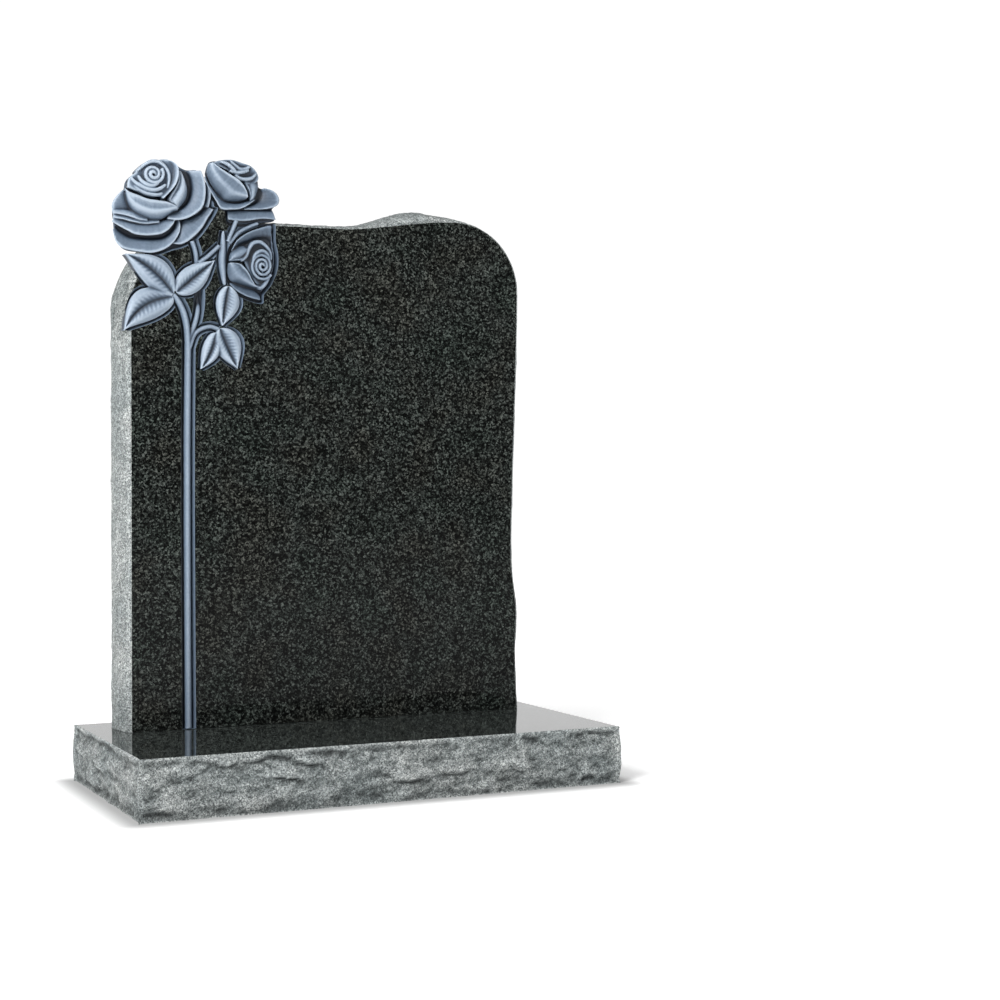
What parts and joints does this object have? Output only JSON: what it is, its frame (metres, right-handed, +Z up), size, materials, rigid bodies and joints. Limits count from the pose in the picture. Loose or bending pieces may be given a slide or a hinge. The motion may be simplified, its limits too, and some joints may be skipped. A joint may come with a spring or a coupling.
{
  "type": "upright headstone",
  "caption": "Upright granite headstone with a waved top, rock-pitched edges and a carved spray of roses up one side, standing on a separate rock-pitched base.",
  "frame": {"origin": "middle of the base's underside, on the ground", "axes": "+Z up, -Y out of the polished front, +X to the right as seen from the front"},
  "size_m": [0.6604, 0.348, 0.8313],
  "materials": {
    "polished_granite": "polished dark granite with mid-grey grains",
    "pitched_granite": "rock-pitched granite, rough and light grey, with a polished top"
  },
  "bodies": {
    "root": {"headstone": "polished_granite", "base": "pitched_granite"}
  },
  "joints": []
}
